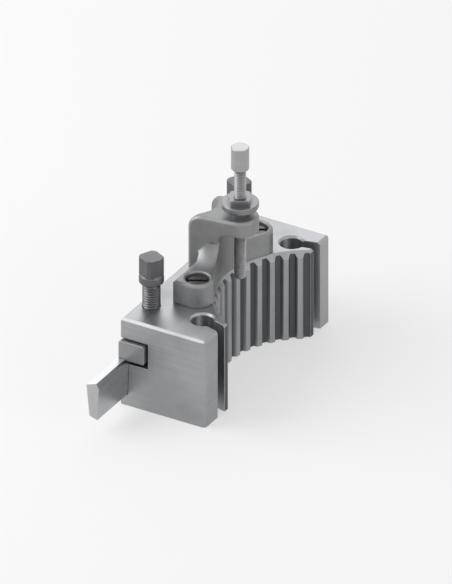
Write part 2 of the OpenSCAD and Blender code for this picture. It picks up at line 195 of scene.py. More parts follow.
TURNED_CAP = SteelFinish(
    name="turned_cap_steel", slot="cap", grain=Grain.TURNED,
    colour=(0.34, 0.342, 0.35), worn=(0.68, 0.68, 0.69), metallic=0.95, roughness=0.32,
    mark_depth=0.014 * MM, tone=0.18, shade_and_stain_strength=0.4, wear=0.7)
TURNED_NUT = SteelFinish(
    name="turned_nut_steel", slot="nut", grain=Grain.TURNED,
    colour=(0.2, 0.202, 0.207), worn=(0.56, 0.56, 0.57), metallic=0.9, roughness=0.36,
    mark_depth=0.014 * MM, tone=0.18, shade_and_stain_strength=0.5, wear=0.8)
DOWEL_STEEL = SteelFinish(
    name="ground_dowel_steel", slot="pins", grain=Grain.TURNED,
    colour=(0.4, 0.402, 0.41), worn=(0.7, 0.7, 0.71), metallic=0.95, roughness=0.28,
    mark_depth=0.004 * MM, tone=0.08, shade_and_stain_strength=0.2, wear=0.3)


@dataclass(frozen=True)
class Layer:
    """One layer of noise over a surface.

    Attributes:
        scale: Waves for each metre.
        detail: Number of finer layers in it.
    """

    scale: float
    detail: float


@dataclass(frozen=True)
class Band:
    """A stretch of a value that becomes a mask, held at both ends.

    Attributes:
        low: Value at which the mask is start.
        high: Value at which the mask is end.
        start: Mask at low.
        end: Mask at high.
    """

    low: float
    high: float
    start: float = 0.0
    end: float = 1.0


# Noise lies about its middle, and the band spreads it from 0 to 1.
NOISE_MIDDLE = 0.5
TONE_BAND = Band(0.3, 0.7)


class NodeSheet:
    """Lays out the nodes of one tree from left to right."""

    def __init__(self, tree: bpy.types.NodeTree) -> None:
        """Starts an empty sheet on the node tree of a material, a group or the world."""
        self.tree = tree
        self.tree.nodes.clear()

    def add(self, kind: str, **settings: object) -> bpy.types.Node:
        """Adds a node and sets its own properties.

        Args:
            kind: The node's type, such as ShaderNodeMath.
            settings: Properties of the node, by name.

        Returns:
            The new node.
        """
        node = self.tree.nodes.new(kind)
        node.location = (NODE_SPACING * len(self.tree.nodes), 0)
        for name, value in settings.items():
            setattr(node, name, value)
        return node

    def feed(self, socket: bpy.types.NodeSocket, value: object) -> None:
        """Links an output to a socket, or writes a plain value on it.

        Args:
            socket: The input to feed.
            value: Another node's output, a number or a tuple.
        """
        if isinstance(value, bpy.types.NodeSocket):
            self.tree.links.new(value, socket)
        else:
            socket.default_value = value

    def feed_all(self, sockets: Iterable[bpy.types.NodeSocket], values: Iterable[object]
                 ) -> None:
        """Feeds the first of a row of inputs with a row of values, one each."""
        for socket, value in zip(sockets, values):
            self.feed(socket, value)

    def math(self, operation: str, *values: object) -> bpy.types.NodeSocket:
        """Works out numbers in a Math node.

        Args:
            operation: The node's operation.
            values: One to three numbers or sockets.

        Returns:
            The result.
        """
        node = self.add("ShaderNodeMath", operation=operation)
        self.feed_all(node.inputs, values)
        return node.outputs[0]

    def vector_math(self, operation: str, *values: object) -> bpy.types.Node:
        """Works out vectors in a Vector Math node.

        Args:
            operation: The node's operation.
            values: One to three vectors or sockets.

        Returns:
            The node, whose result is a vector or a number.
        """
        node = self.add("ShaderNodeVectorMath", operation=operation)
        self.feed_all(node.inputs, values)
        return node

    def split(self, vector: object) -> tuple[bpy.types.NodeSocket, ...]:
        """Splits a vector.

        Args:
            vector: The vector.

        Returns:
            Its X, Y and Z.
        """
        node = self.add("ShaderNodeSeparateXYZ")
        self.feed(node.inputs[0], vector)
        return tuple(node.outputs)

    def join(self, x: object, y: object, z: object) -> bpy.types.NodeSocket:
        """Joins three numbers.

        Args:
            x: The vector's X.
            y: The vector's Y.
            z: The vector's Z.

        Returns:
            The vector.
        """
        node = self.add("ShaderNodeCombineXYZ")
        self.feed_all(node.inputs, (x, y, z))
        return node.outputs[0]

    def span(self, value: object, low: object, high: object,
             start: object = 0.0, end: object = 1.0) -> bpy.types.NodeSocket:
        """Maps a value from one range to another, held at both ends.

        Args:
            value: The value to map.
            low: Value that maps to start.
            high: Value that maps to end.
            start: Result at low.
            end: Result at high.

        Returns:
            The mapped value.
        """
        node = self.add("ShaderNodeMapRange", clamp=True)
        self.feed_all(node.inputs, (value, low, high, start, end))
        return node.outputs[0]

    def mask(self, value: object, band: Band) -> bpy.types.NodeSocket:
        """Returns the mask that a band makes of a value."""
        return self.span(value, band.low, band.high, band.start, band.end)

    def flat_length(self, vector: object) -> bpy.types.NodeSocket:
        """Returns the length of a vector seen from above."""
        flat = self.vector_math("MULTIPLY", vector, (1.0, 1.0, 0.0))
        return self.vector_math("LENGTH", flat.outputs[0]).outputs["Value"]

    def centred(self, vector: object, axis: Vector) -> bpy.types.NodeSocket:
        """Measures a place from an upright axis.

        Args:
            vector: The place on the surface.
            axis: A point on the axis.

        Returns:
            The place, with its X and Y measured from the axis.
        """
        node = self.add("ShaderNodeMapping", vector_type="POINT")
        self.feed(node.inputs["Vector"], vector)
        self.feed(node.inputs["Location"], (-axis.x, -axis.y, 0.0))
        return node.outputs[0]

    def noise(self, vector: object, layer: Layer) -> bpy.types.NodeSocket:
        """Lays noise over a surface.

        Args:
            vector: The place on the surface.
            layer: The noise's scale and detail.

        Returns:
            The noise, from 0 to 1.
        """
        node = self.add("ShaderNodeTexNoise", noise_dimensions="3D")
        self.feed(node.inputs["Vector"], vector)
        self.feed(node.inputs["Scale"], layer.scale)
        self.feed(node.inputs["Detail"], layer.detail)
        return node.outputs[0]

    def blend(self, share: object, first: object, second: object) -> bpy.types.NodeSocket:
        """Blends two numbers.

        Args:
            share: Share of the second, from 0 to 1.
            first: The first number.
            second: The second number.

        Returns:
            The number between them.
        """
        node = self.add("ShaderNodeMix", data_type="FLOAT")
        self.feed_all([node.inputs[place] for place in MIX_NUMBERS], (share, first, second))
        return node.outputs[0]

    def blend_colour(self, share: object, first: object, second: object
                     ) -> bpy.types.NodeSocket:
        """Blends two colours.

        Args:
            share: Share of the second, from 0 to 1.
            first: The first colour.
            second: The second colour.

        Returns:
            The colour between them.
        """
        node = self.add("ShaderNodeMix", data_type="RGBA", blend_type="MIX")
        self.feed_all([node.inputs[place] for place in MIX_COLOURS], (share, first, second))
        return node.outputs[MIX_COLOUR_RESULT]

    def place_group(self, group: bpy.types.NodeTree, **inputs: object) -> bpy.types.Node:
        """Places a shared group and feeds its inputs.

        Args:
            group: The node group.
            inputs: Values by socket name, with _ for a space.

        Returns:
            The group's node.
        """
        node = self.add("ShaderNodeGroup", node_tree=group)
        for name, value in inputs.items():
            self.feed(node.inputs[name.replace("_", " ")], value)
        return node


def rgba(colour: Colour) -> tuple[float, float, float, float]:
    """Returns a colour with full opacity."""
    return (*colour, 1.0)


def start_group(name: str, inputs: dict[str, str], outputs: dict[str, str]
                ) -> tuple[NodeSheet, bpy.types.Node, bpy.types.Node]:
    """Starts a shared node group with its sockets.

    Args:
        name: The group's name.
        inputs: Kind of each input socket, by name: Float, Vector or Color.
        outputs: The same for the outputs.

    Returns:
        The sheet, the group's input node and its output node.
    """
    group = bpy.data.node_groups.new(name, "ShaderNodeTree")
    for side, sockets in (("INPUT", inputs), ("OUTPUT", outputs)):
        for socket, kind in sockets.items():
            group.interface.new_socket(name=socket, in_out=side, socket_type=f"NodeSocket{kind}")
    sheet = NodeSheet(group)
    return sheet, sheet.add("NodeGroupInput"), sheet.add("NodeGroupOutput")


@dataclass(frozen=True)
class EdgeWear:
    """The mask of the rubbed outer edges.

    Attributes:
        samples: Rays that feel for an edge.
        turn: From clean to rubbed, by the cosine between the face and its rounded normal.
        patches: Noise that breaks the rubbing up.
        patch_band: From weak to full rubbing over that noise.
    """

    samples: int = 6
    turn: Band = Band(0.995, 0.86)
    patches: Layer = Layer(420.0, 3.0)
    patch_band: Band = Band(0.34, 0.58, 0.25, 1.0)

    def build(self) -> bpy.types.NodeTree:
        """Builds the group.

        Returns:
            A group with the inputs Vector and Width and the output Mask.
        """
        sheet, given, made = start_group(
            "edge_wear", {"Vector": "Vector", "Width": "Float"}, {"Mask": "Float"})
        rounded = sheet.add("ShaderNodeBevel", samples=self.samples)
        sheet.feed(rounded.inputs["Radius"], given.outputs["Width"])
        flat = sheet.add("ShaderNodeNewGeometry")
        facing = sheet.vector_math("DOT_PRODUCT", rounded.outputs[0], flat.outputs["Normal"])
        edge = sheet.mask(facing.outputs["Value"], self.turn)
        broken = sheet.mask(sheet.noise(given.outputs["Vector"], self.patches), self.patch_band)
        sheet.feed(made.inputs["Mask"], sheet.math("MULTIPLY", edge, broken))
        return sheet.tree


@dataclass(frozen=True)
class HollowShadeAndStain:
    """Painted shade in corners and hollows, and faint stained patches on open faces.

    Attributes:
        samples: Rays that feel for a hollow.
        closed: From open to full painted shade, by the share of the sky that a place sees.
        patches: Noise that lays the faint patches.
        patch_band: From clean to the strongest patch over that noise.
    """

    samples: int = 8
    closed: Band = Band(0.82, 0.3)
    patches: Layer = Layer(38.0, 4.0)
    patch_band: Band = Band(0.48, 0.75, 0.0, 0.35)

    def build(self) -> bpy.types.NodeTree:
        """Builds the group.

        Returns:
            A group with the inputs Vector and Reach and the output Film, the larger of the painted
            shade, from 0 in the open to 1 in a hollow, and the faint stained patches.
        """
        sheet, given, made = start_group(
            "hollow_shade_and_stain", {"Vector": "Vector", "Reach": "Float"}, {"Shade_Stain_Mask": "Float"})
        # Painted shade: ambient occlusion darkens the colour in corners and hollows, where shade
        # falls.
        hollow = sheet.add("ShaderNodeAmbientOcclusion", samples=self.samples, only_local=True)
        sheet.feed(hollow.inputs["Distance"], given.outputs["Reach"])
        closed = sheet.mask(hollow.outputs["AO"], self.closed)
        patches = sheet.mask(sheet.noise(given.outputs["Vector"], self.patches), self.patch_band)
        sheet.feed(made.inputs["Shade_Stain_Mask"], sheet.math("MAXIMUM", closed, patches))
        return sheet.tree


@dataclass(frozen=True)
class GroundLines:
    """Straight lines along the block, across its end faces and up the teeth of its seat.

    Attributes:
        end_face: From the sides to the end faces, by the Y of the normal.
        upright_limit: Z of the normal below which a face of the seat stands upright.
        stretch: Scale of the pattern along the lines.
        fine: The fine lines.
        broad: The broad lines.
        broad_share: Share of the broad lines in the whole.
    """

    end_face: Band = Band(0.75, 0.8)
    upright_limit: float = 0.5
    stretch: float = 0.012
    fine: Layer = Layer(2600.0, 2.0)
    broad: Layer = Layer(620.0, 2.0)
    broad_share: float = 0.35

    def build(self) -> bpy.types.NodeTree:
        """Builds the group.

        Returns:
            A group with the outputs Height and Tone, both about 0.5 on average, and Gullet,
            which is 1 at the bottom of the gaps between the teeth.
        """
        sheet, given, made = start_group(
            "ground_lines",
            {"Vector": "Vector", "Seat Vector": "Vector", "Seat Radius": "Float",
             "Tip Radius": "Float", "Root Radius": "Float"},
            {"Height": "Float", "Tone": "Float", "Gullet": "Float"})
        surface = sheet.add("ShaderNodeNewGeometry")
        facing = sheet.split(surface.outputs["Normal"])
        end_face = sheet.mask(sheet.math("ABSOLUTE", facing[1]), self.end_face)
        reach = sheet.flat_length(given.outputs["Seat Vector"])
        in_seat = sheet.math("LESS_THAN", reach, given.outputs["Seat Radius"])
        upright = sheet.math("LESS_THAN", sheet.math("ABSOLUTE", facing[2]), self.upright_limit)
        broached = sheet.math("MULTIPLY", in_seat, upright)
        deep = sheet.span(reach, given.outputs["Tip Radius"], given.outputs["Root Radius"])
        ways = self._ways(sheet, given.outputs["Vector"])
        fine = self._lines(sheet, ways, end_face, broached, self.fine)
        broad = self._lines(sheet, ways, end_face, broached, self.broad)
        height = sheet.blend(self.broad_share, fine, broad)
        sheet.feed(made.inputs["Height"], height)
        sheet.feed(made.inputs["Tone"], sheet.mask(height, TONE_BAND))
        sheet.feed(made.inputs["Gullet"], sheet.math("MULTIPLY", broached, deep))
        return sheet.tree

    def _ways(self, sheet: NodeSheet, place: bpy.types.NodeSocket
              ) -> tuple[bpy.types.NodeSocket, ...]:
        """Draws the place out in the three ways in which lines run.

        Args:
            sheet: The group's sheet.
            place: The place on the surface.

        Returns:
            The place drawn out along the block, across it and upright.
        """
        x, y, z = sheet.split(place)
        return (
            sheet.join(x, sheet.math("MULTIPLY", y, self.stretch), z),
            sheet.join(sheet.math("MULTIPLY", x, self.stretch), y, z),
            sheet.join(x, y, sheet.math("MULTIPLY", z, self.stretch)),
        )

    @staticmethod
    def _lines(sheet: NodeSheet, ways: tuple[bpy.types.NodeSocket, ...],
               end_face: bpy.types.NodeSocket, broached: bpy.types.NodeSocket, layer: Layer
               ) -> bpy.types.NodeSocket:
        """Returns the height of one layer of lines, turned to suit the face."""
        lengthwise, crosswise, upright = (sheet.noise(way, layer) for way in ways)
        return sheet.blend(broached, sheet.blend(end_face, lengthwise, crosswise), upright)


@dataclass(frozen=True)
class TurnedRings:
    """The fine rings that a lathe tool leaves round an upright axis.

    Attributes:
        drift: Share of the place itself in the pattern, which keeps the rings from being even.
        fine: The fine rings.
        broad: The broad rings.
        broad_share: Share of the broad rings in the whole.
    """

    drift: float = 0.02
    fine: Layer = Layer(2800.0, 2.0)
    broad: Layer = Layer(900.0, 1.0)
    broad_share: float = 0.4

    def build(self) -> bpy.types.NodeTree:
        """Builds the group.

        Returns:
            A group with the input Vector, measured from the axis, and the outputs Height and
            Tone.
        """
        sheet, given, made = start_group(
            "turned_rings", {"Vector": "Vector"}, {"Height": "Float", "Tone": "Float"})
        x, y, z = sheet.split(given.outputs["Vector"])
        drift_x, drift_y = (sheet.math("MULTIPLY", side, self.drift) for side in (x, y))
        reach = sheet.flat_length(given.outputs["Vector"])
        place = sheet.join(sheet.math("ADD", reach, drift_x), drift_y, z)
        fine = sheet.noise(place, self.fine)
        broad = sheet.noise(place, self.broad)
        height = sheet.blend(self.broad_share, fine, broad)
        sheet.feed(made.inputs["Height"], height)
        sheet.feed(made.inputs["Tone"], sheet.mask(height, TONE_BAND))
        return sheet.tree


@dataclass(frozen=True)
class CastSkin:
    """A fine blasted casting, with milled lines on the faces that point up.

    Attributes:
        grit: The grit of the sand.
        lumps: The soft lumps under it.
        lump_share: Share of the lumps in the skin.
        facing_up: From cast to milled, by the Z of the normal.
        milled: The milled lines.
        milled_stretch: Scale of the pattern along the milled lines.
        milled_relief: Relief of the milled lines, as a share of the skin's.
    """

    grit: Layer = Layer(1500.0, 3.0)
    lumps: Layer = Layer(260.0, 2.0)
    lump_share: float = 0.45
    facing_up: Band = Band(0.985, 0.997)
    milled: Layer = Layer(2200.0, 2.0)
    milled_stretch: float = 0.03
    milled_relief: float = 0.75

    def build(self) -> bpy.types.NodeTree:
        """Builds the group.

        Returns:
            A group with the input Vector and the outputs Height and Tone.
        """
        sheet, given, made = start_group(
            "cast_skin", {"Vector": "Vector"}, {"Height": "Float", "Tone": "Float"})
        place = given.outputs["Vector"]
        skin = sheet.blend(
            self.lump_share, sheet.noise(place, self.grit), sheet.noise(place, self.lumps))
        surface = sheet.add("ShaderNodeNewGeometry")
        upward = sheet.mask(sheet.split(surface.outputs["Normal"])[2], self.facing_up)
        x, y, z = sheet.split(place)
        row = sheet.join(x, sheet.math("MULTIPLY", y, self.milled_stretch), z)
        lines = sheet.blend(
            self.milled_relief, NOISE_MIDDLE, sheet.noise(row, self.milled))
        height = sheet.blend(upward, skin, lines)
        sheet.feed(made.inputs["Height"], height)
        sheet.feed(made.inputs["Tone"], sheet.mask(height, TONE_BAND))
        return sheet.tree


class SurfaceEffects:
    """The node groups that several finishes share, each built once."""

    def __init__(self) -> None:
        """Builds every group."""
        self.edge_wear = EdgeWear().build()
        self.hollow_shade_and_stain = HollowShadeAndStain().build()
        self.ground_lines = GroundLines().build()
        self.turned_rings = TurnedRings().build()
        self.cast_skin = CastSkin().build()


@dataclass
class FinishShop:
    """Makes the materials, one for each piece.

    Attributes:
        effects: The shared node groups.
        seat_axis: A point on the axis of the toothed arc.
        seat_radius: Radius that holds the teeth and their chamfer.
        tooth_depth: Depth of the teeth.
        painted_gullet_shade: Strength of the painted shade in the gaps between the teeth.
        edge_width: Width of the rubbed edges.
        painted_shade_reach: How far the painted shade spreads out of a hollow.
        shade_and_stain_brightness: Brightness of the painted shade and the stained patches, as a
            share of the clean metal's.
        shade_and_stain_roughness: Roughness added in the hollows and the stained patches.
        mark_roughness: Swing of the roughness over the tool marks.
    """

    effects: SurfaceEffects
    seat_axis: Vector
    seat_radius: float = 52.2 * MM
    tooth_depth: float = 2.0 * MM
    painted_gullet_shade: float = 0.95
    edge_width: float = 0.5 * MM
    painted_shade_reach: float = 4.0 * MM
    shade_and_stain_brightness: float = 0.3
    shade_and_stain_roughness: float = 0.22
    mark_roughness: float = 0.05

    def material(self, finish: SteelFinish, name: str, axis: Vector) -> bpy.types.Material:
        """Builds one material.

        Args:
            finish: The finish to show.
            name: Ending of the material's name.
            axis: A point on the piece's upright axis, round which turned marks run.

        Returns:
            The material.
        """
        made = bpy.data.materials.new(f"{finish.name}_{name}")
        made.use_nodes = True
        sheet = NodeSheet(made.node_tree)
        place = sheet.add("ShaderNodeTexCoord").outputs["Object"]
        marks = self._marks(sheet, finish, place, axis)
        wear = sheet.place_group(self.effects.edge_wear, Vector=place, Width=self.edge_width)
        # Painted shade in the hollows, from ambient occlusion, joined with faint stained patches;
        # it darkens the colour and roughens the surface.
        shade_stain_node = sheet.place_group(self.effects.hollow_shade_and_stain, Vector=place, Reach=self.painted_shade_reach)
        rubbed = sheet.math("MULTIPLY", wear.outputs["Mask"], finish.wear)
        shade_and_stain = sheet.math("MULTIPLY", shade_stain_node.outputs["Shade_Stain_Mask"], finish.shade_and_stain_strength)
        # Painted shade in the gaps between the teeth of the seat, darker towards the bottom of
        # each gap.
        if finish.grain is Grain.GROUND:
            gullet_shade = sheet.math("MULTIPLY", marks.outputs["Gullet"], self.painted_gullet_shade)
            shade_and_stain = sheet.math("MAXIMUM", shade_and_stain, gullet_shade)
        relief = sheet.add("ShaderNodeBump")
        sheet.feed(relief.inputs["Strength"], 1.0)
        sheet.feed(relief.inputs["Distance"], finish.mark_depth)
        sheet.feed(relief.inputs["Height"], marks.outputs["Height"])
        shader = sheet.add("ShaderNodeBsdfPrincipled")
        tone = marks.outputs["Tone"]
        sheet.feed(shader.inputs["Base Color"], self._colour(sheet, finish, tone, shade_and_stain, rubbed))
        sheet.feed(shader.inputs["Metallic"], finish.metallic)
        sheet.feed(shader.inputs["Roughness"], self._gloss(sheet, finish, tone, shade_and_stain))
        sheet.feed(shader.inputs["Normal"], relief.outputs[0])
        ending = sheet.add("ShaderNodeOutputMaterial")
        sheet.feed(ending.inputs["Surface"], shader.outputs[0])
        return made

    def _marks(self, sheet: NodeSheet, finish: SteelFinish, place: bpy.types.NodeSocket,
               axis: Vector) -> bpy.types.Node:
        """Places the group that gives the finish its tool marks.

        Args:
            sheet: The material's sheet.
            finish: The finish.
            place: The place on the surface.
            axis: A point on the piece's upright axis.

        Returns:
            The node of the group.
        """
        if finish.grain is Grain.TURNED:
            return sheet.place_group(
                self.effects.turned_rings, Vector=sheet.centred(place, axis))
        if finish.grain is Grain.CAST:
            return sheet.place_group(self.effects.cast_skin, Vector=place)
        return sheet.place_group(
            self.effects.ground_lines, Vector=place,
            Seat_Vector=sheet.centred(place, self.seat_axis), Seat_Radius=self.seat_radius,
            Tip_Radius=TOOTH_TIP_R, Root_Radius=TOOTH_TIP_R + self.tooth_depth)

    def _colour(self, sheet: NodeSheet, finish: SteelFinish, tone: bpy.types.NodeSocket,
                shade_and_stain: bpy.types.NodeSocket, rubbed: bpy.types.NodeSocket
                ) -> bpy.types.NodeSocket:
        """Colours the metal, its marks, the painted shade in its hollows with the stained patches,
        and its worn edges.

        Args:
            sheet: The material's sheet.
            finish: The finish.
            tone: Tone of the tool marks.
            shade_and_stain: Strength of the painted shade and the stained patches.
            rubbed: Strength of the rubbing.

        Returns:
            The colour.
        """
        # The colour towards which the painted shade and the stained patches darken the metal.
        shade_and_stain_colour = tuple(self.shade_and_stain_brightness * part for part in finish.colour)
        toned = sheet.blend_colour(
            sheet.math("MULTIPLY", tone, finish.tone), rgba(finish.colour), rgba(finish.worn))
        shaded_and_stained = sheet.blend_colour(shade_and_stain, toned, rgba(shade_and_stain_colour))
        return sheet.blend_colour(rubbed, shaded_and_stained, rgba(finish.worn))

    def _gloss(self, sheet: NodeSheet, finish: SteelFinish, tone: bpy.types.NodeSocket,
               shade_and_stain: bpy.types.NodeSocket) -> bpy.types.NodeSocket:
        """Varies the roughness over the tool marks, the painted shade's hollows and the stained
        patches.

        Args:
            sheet: The material's sheet.
            finish: The finish.
            tone: Tone of the tool marks.
            shade_and_stain: Strength of the painted shade and the stained patches.

        Returns:
            The roughness.
        """
        smoothest = finish.roughness - self.mark_roughness
        roughest = finish.roughness + self.mark_roughness
        marked = sheet.span(tone, 0.0, 1.0, smoothest, roughest)
        return sheet.math("MULTIPLY_ADD", shade_and_stain, self.shade_and_stain_roughness, marked)


def deselect_all() -> None:
    """Leaves edit mode and deselects every object."""
    if bpy.context.mode != "OBJECT":
        bpy.ops.object.mode_set(mode="OBJECT")
    bpy.ops.object.select_all(action="DESELECT")


def take(piece: bpy.types.Object) -> None:
    """Makes one object the only selected and the active one.

    Args:
        piece: The object.
    """
    deselect_all()
    piece.select_set(True)
    bpy.context.view_layer.objects.active = piece


def settle(piece: bpy.types.Object) -> None:
    """Puts the object's place, turn and size into its mesh."""
    take(piece)
    bpy.ops.object.transform_apply(location=True, rotation=True, scale=True)


def take_all_points(piece: bpy.types.Object) -> None:
    """Opens a piece in edit mode with everything selected.

    Args:
        piece: The piece.
    """
    take(piece)
    bpy.ops.object.mode_set(mode="EDIT")
    bpy.ops.mesh.select_all(action="SELECT")


def face_outwards(piece: bpy.types.Object) -> None:
    """Merges doubled points and turns every face outwards.

    Args:
        piece: The piece.
    """
    take_all_points(piece)
    bpy.ops.mesh.remove_doubles(threshold=MERGE_DISTANCE)
    bpy.ops.mesh.normals_make_consistent(inside=False)
    bpy.ops.object.mode_set(mode="OBJECT")


def new_object(name: str, mesh: bpy.types.Mesh) -> bpy.types.Object:
    """Adds an object to the scene.

    Args:
        name: The object's name.
        mesh: Its mesh.

    Returns:
        The object.
    """
    made = bpy.data.objects.new(name, mesh)
    bpy.context.scene.collection.objects.link(made)
    return made


def turned_solid(name: str, axis: Vector, stations: list[tuple[float, float]]
                 ) -> bpy.types.Object:
    """Turns a closed solid: a disc that is extruded upwards and resized at each station.

    Args:
        name: The object's name.
        axis: A point on the upright axis.
        stations: Radius and height of each ring, from the lowest to the highest.

    Returns:
        The solid.
    """
    radius, level = stations[0]
    deselect_all()
    bpy.ops.mesh.primitive_circle_add(
        vertices=ROUND_SIDES, radius=radius, fill_type="NGON", location=(axis.x, axis.y, level))
    piece = bpy.context.active_object
    piece.name = name
    settle(piece)
    take_all_points(piece)
    for next_radius, next_level in stations[1:]:
        bpy.ops.mesh.extrude_region_move(
            TRANSFORM_OT_translate={"value": (0.0, 0.0, next_level - level)})
        share = next_radius / radius
        bpy.ops.transform.resize(
            value=(share, share, 1.0), center_override=(axis.x, axis.y, next_level))
        radius, level = next_radius, next_level
    face_outwards(piece)
    return piece


def straight_block(name: str, centre: Vector, size: tuple[float, float, float], turn: float
                   ) -> bpy.types.Object:
    """Makes a block, to be cut or to cut with.

    Args:
        name: The object's name.
        centre: Its middle.
        size: Its length along each of its own axes.
        turn: Turn about the upright axis, in radians.

    Returns:
        The solid.
    """
    deselect_all()
    bpy.ops.mesh.primitive_cube_add(size=1.0, location=centre, rotation=(0.0, 0.0, turn))
    piece = bpy.context.active_object
    piece.name = name
    piece.scale = size
    settle(piece)
    return piece


def squared_solid(name: str, axis: Vector, width: float, corner: float, low: float, high: float,
                  turn: float) -> bpy.types.Object:
    """Makes an upright square whose corners were turned off to a circle.

    Args:
        name: The object's name.
        axis: A point on the upright axis.
        width: Width across the flats.
        corner: Radius of the circle that cuts the corners.
        low: Lower end.
        high: Upper end.
        turn: Turn of the square about its axis, in radians.

    Returns:
        The solid.
    """
    centre = Vector((axis.x, axis.y, (low + high) / 2))
    piece = straight_block(name, centre, (width, width, high - low), turn)
    lead = corner * CORNER_LEAD
    blank = turned_solid(f"{name}_blank", axis, [
        (corner, low - OVERSHOOT),
        (corner, high - lead),
        (corner - CORNER_SLOPE * lead, high + 2 * HAIR),
    ])
    combine(piece, blank, Fuse.KEEP_COMMON)
    return piece


def thread_profile(name: str, radius: float, pitch: float) -> bpy.types.Object:
    """Shapes an open line, one turn of a thread's profile, from a ring of points.

    Args:
        name: The object's name.
        radius: Outer radius of the thread.
        pitch: Rise of each turn.

    Returns:
        The line.
    """
    depth = THREAD_DEPTH * pitch
    deselect_all()
    bpy.ops.mesh.primitive_circle_add(
        vertices=len(THREAD_PROFILE), radius=radius, fill_type="NOTHING")
    piece = bpy.context.active_object
    piece.name = name
    mesh = piece.data
    for point, (rise, inward) in zip(mesh.vertices, THREAD_PROFILE):
        point.co = (radius - inward * depth, 0.0, rise * pitch)
    bpy.ops.object.mode_set(mode="EDIT")
    bpy.ops.mesh.select_all(action="DESELECT")
    bpy.ops.object.mode_set(mode="OBJECT")
    ends = {0, len(THREAD_PROFILE) - 1}
    for edge in mesh.edges:
        edge.select = set(edge.vertices) == ends
    bpy.ops.object.mode_set(mode="EDIT")
    bpy.ops.mesh.select_mode(type="EDGE")
    bpy.ops.mesh.delete(type="EDGE")
    bpy.ops.object.mode_set(mode="OBJECT")
    return piece


def threaded_rod(name: str, axis: Vector, radius: float, pitch: float, low: float, high: float
                 ) -> bpy.types.Object:
    """Winds a thread's profile up an axis and cuts both ends flat.

    Args:
        name: The object's name.
        axis: A point on the upright axis.
        radius: Outer radius of the thread.
        pitch: Rise of each turn.
        low: Lower end.
        high: Upper end.

    Returns:
        The solid.
    """
    piece = thread_profile(name, radius, pitch)
    winding = piece.modifiers.new("winding", "SCREW")
    winding.axis = "Z"
    winding.angle = math.tau
    winding.screw_offset = pitch
    winding.iterations = math.ceil((high - low) / pitch) + SPARE_TURNS
    winding.steps = THREAD_STEPS
    winding.render_steps = THREAD_STEPS
    winding.use_merge_vertices = False
    bpy.ops.object.modifier_apply(modifier=winding.name)
    piece.location = (axis.x, axis.y, low - SPARE_TURNS / 2 * pitch)
    settle(piece)
    face_outwards(piece)
    bpy.ops.object.mode_set(mode="EDIT")
    for level, upward in ((low, False), (high, True)):
        bpy.ops.mesh.select_all(action="SELECT")
        bpy.ops.mesh.bisect(
            plane_co=(axis.x, axis.y, level), plane_no=(0.0, 0.0, 1.0), use_fill=True,
            threshold=MERGE_DISTANCE, clear_outer=upward, clear_inner=not upward)
    bpy.ops.object.mode_set(mode="OBJECT")
    face_outwards(piece)
    return piece


def combine(piece: bpy.types.Object, other: bpy.types.Object, how: Fuse) -> None:
    """Combines a piece with another solid, which is used up.

    Args:
        piece: The solid that stays.
        other: The solid that acts on it.
        how: Whether it is added, cut away or limits the piece.
    """
    take(piece)
    step = piece.modifiers.new("combine", "BOOLEAN")
    step.operation = how.value
    step.solver = "EXACT"
    step.object = other
    bpy.ops.object.modifier_apply(modifier=step.name)
    bpy.data.objects.remove(other)
    take_all_points(piece)
    bpy.ops.mesh.dissolve_degenerate(threshold=MERGE_DISTANCE)
    bpy.ops.mesh.remove_doubles(threshold=MERGE_DISTANCE)
    bpy.ops.mesh.delete_loose()
    bpy.ops.object.mode_set(mode="OBJECT")


def break_edges(piece: bpy.types.Object, width: float) -> None:
    """Rounds the sharp edges of a piece a little, and smooths its round faces.

    Args:
        piece: The piece.
        width: Width of the rounding.
    """
    take(piece)
    rounding = piece.modifiers.new("broken_edges", "BEVEL")
    rounding.width = width
    rounding.segments = EDGE_SEGMENTS
    rounding.limit_method = "ANGLE"
    rounding.angle_limit = SHARP_ANGLE
    rounding.miter_outer = "MITER_ARC"
    rounding.use_clamp_overlap = False
    bpy.ops.object.modifier_apply(modifier=rounding.name)
    smooth(piece)


def round_skin(piece: bpy.types.Object, grid: float, passes: int) -> None:
    """Rebuilds a piece on a fine grid and evens it, so that its edges run round.

    Args:
        piece: The piece, a closed solid.
        grid: Width of the grid.
        passes: How often the skin is evened.
    """
    take(piece)
    rebuilt = piece.modifiers.new("fine_grid", "REMESH")
    rebuilt.mode = "VOXEL"
    rebuilt.voxel_size = grid
    bpy.ops.object.modifier_apply(modifier=rebuilt.name)
    evened = piece.modifiers.new("even_skin", "SMOOTH")
    evened.factor = EVENING
    evened.iterations = passes
    bpy.ops.object.modifier_apply(modifier=evened.name)
    bpy.ops.object.shade_smooth()


def smooth(piece: bpy.types.Object) -> None:
    """Smooths the round faces and keeps the flat ones flat.

    Args:
        piece: The piece.
    """
    take(piece)
    bpy.ops.object.shade_smooth_by_angle(angle=SHARP_ANGLE)
    weighted = piece.modifiers.new("even_faces", "WEIGHTED_NORMAL")
    weighted.keep_sharp = True
    bpy.ops.object.modifier_apply(modifier=weighted.name)


def whole_copy(node: bpy.types.Object, name: str) -> bpy.types.Object:
    """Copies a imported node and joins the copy's loose triangles into whole faces.

    Args:
        node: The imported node, which stays as it is.
        name: The copy's name.

    Returns:
        The copy, with a closed mesh of its own.
    """
    piece = new_object(name, node.data.copy())
    take_all_points(piece)
    bpy.ops.mesh.remove_doubles(threshold=MERGE_DISTANCE)
    bpy.ops.mesh.dissolve_limited(angle_limit=FLAT_ANGLE)
    bpy.ops.object.mode_set(mode="OBJECT")
    return piece


def shifted_copy(piece: bpy.types.Object, name: str, shift: Vector) -> bpy.types.Object:
    """Copies a modelled piece to the next place where it repeats.

    Args:
        piece: The piece.
        name: The copy's name.
        shift: The way from the piece to the copy.

    Returns:
        The copy, with a mesh of its own.
    """
    twin = new_object(name, piece.data.copy())
    twin.location = shift
    settle(twin)
    return twin


def box_axis(node: str) -> Vector:
    """Returns the middle of a node's box, on its upright axis."""
    low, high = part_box(node)
    return (low + high) / 2


